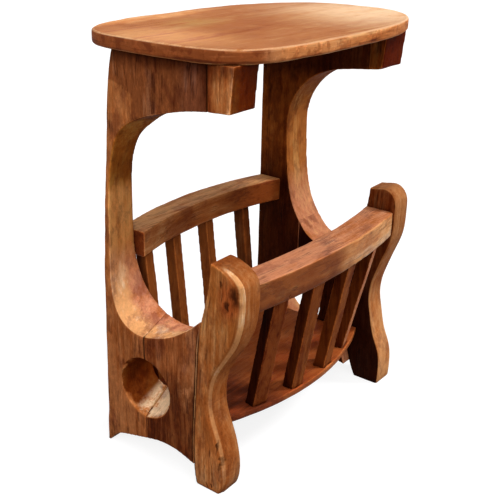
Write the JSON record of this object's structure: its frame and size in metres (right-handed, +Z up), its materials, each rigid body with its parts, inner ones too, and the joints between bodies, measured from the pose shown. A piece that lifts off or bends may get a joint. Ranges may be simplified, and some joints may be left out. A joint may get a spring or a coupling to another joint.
{
  "type": "magazine table with rack",
  "caption": "Rustic solid-wood side table with an oval slab top on sawn cut-out side panels, and a slatted magazine rack slung between curved front legs and uprights.",
  "frame": {"origin": "on the floor, under the middle of the slab", "axes": "+X along the rails to the right as seen from the front, +Y to the rear, +Z up"},
  "size_m": [0.5084, 0.3004, 0.6],
  "materials": {
    "slab": "oiled, satin",
    "side_boards": "oiled, satin",
    "front_legs": "oiled, satin",
    "rails": "oiled, satin",
    "rack_floor": "oiled, satin",
    "slats": "oiled, satin",
    "dowels": "plain"
  },
  "bodies": {
    "root": {"table_top": "slab", "left_upright": "side_boards", "left_arm_block": "side_boards", "left_base_block": "side_boards", "right_upright": "side_boards", "right_arm_block": "side_boards", "right_base_block": "side_boards", "left_front_leg": "front_legs", "right_front_leg": "front_legs", "front_rail": "rails", "back_rail": "rails", "rack_floor": "rack_floor", "front_slat_1": "slats", "front_slat_2": "slats", "front_slat_3": "slats", "front_slat_4": "slats", "back_slat_1": "slats", "back_slat_2": "slats", "back_slat_3": "slats", "back_slat_4": "slats", "top_dowels": "dowels", "arm_dowels": "dowels", "base_dowels": "dowels", "leg_dowels": "dowels"}
  },
  "joints": []
}
